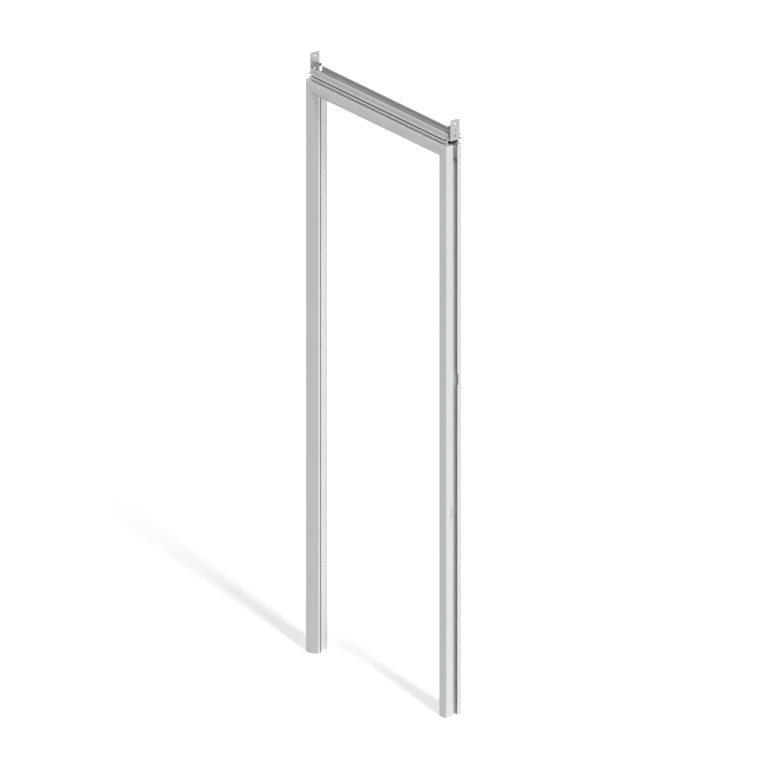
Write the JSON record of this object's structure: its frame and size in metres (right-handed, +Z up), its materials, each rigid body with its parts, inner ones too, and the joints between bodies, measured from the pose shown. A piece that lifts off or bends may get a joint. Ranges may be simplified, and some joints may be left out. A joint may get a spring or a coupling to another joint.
{
  "type": "door frame",
  "caption": "Door frame of mitred curved-face aluminium profiles with corner keys, snap-in cover strips, door seals, and a top rail carried by two angle brackets",
  "frame": {"origin": "on the outer flat face of the left bracket plate, midway between its middle and upper holes, in line with the wall side of the left jamb", "axes": "+Z up, +X from the left jamb to the right jamb as seen from the curved front, +Y from the curved front to the back"},
  "size_m": [0.82, 0.08, 2.1915],
  "materials": {
    "profile_aluminium": "satin anodised extrusion",
    "strip_aluminium": "satin anodised strip, a shade lighter than the profiles",
    "seal_rubber": "black rubber with a hollow bulb",
    "bracket_steel": "zinc-plated sheet and screw",
    "key_metal": "raw die casting",
    "screw_steel": "zinc-plated screws"
  },
  "bodies": {
    "root": {"left_jamb": "profile_aluminium", "right_jamb": "profile_aluminium", "head_profile": "profile_aluminium", "top_rail": "profile_aluminium", "left_cover_strip": "strip_aluminium", "right_cover_strip": "strip_aluminium", "head_cover_strip": "strip_aluminium", "left_door_seal": "seal_rubber", "right_door_seal": "seal_rubber", "head_door_seal": "seal_rubber", "left_bracket": "bracket_steel", "right_bracket": "bracket_steel", "left_jack_screw": "bracket_steel", "right_jack_screw": "bracket_steel", "left_corner_key": "key_metal", "right_corner_key": "key_metal", "left_outer_clamp_screw": "screw_steel", "left_inner_clamp_screw": "screw_steel", "left_jamb_key_screw": "screw_steel", "left_head_key_screw": "screw_steel", "right_outer_clamp_screw": "screw_steel", "right_inner_clamp_screw": "screw_steel", "right_jamb_key_screw": "screw_steel", "right_head_key_screw": "screw_steel"}
  },
  "joints": []
}
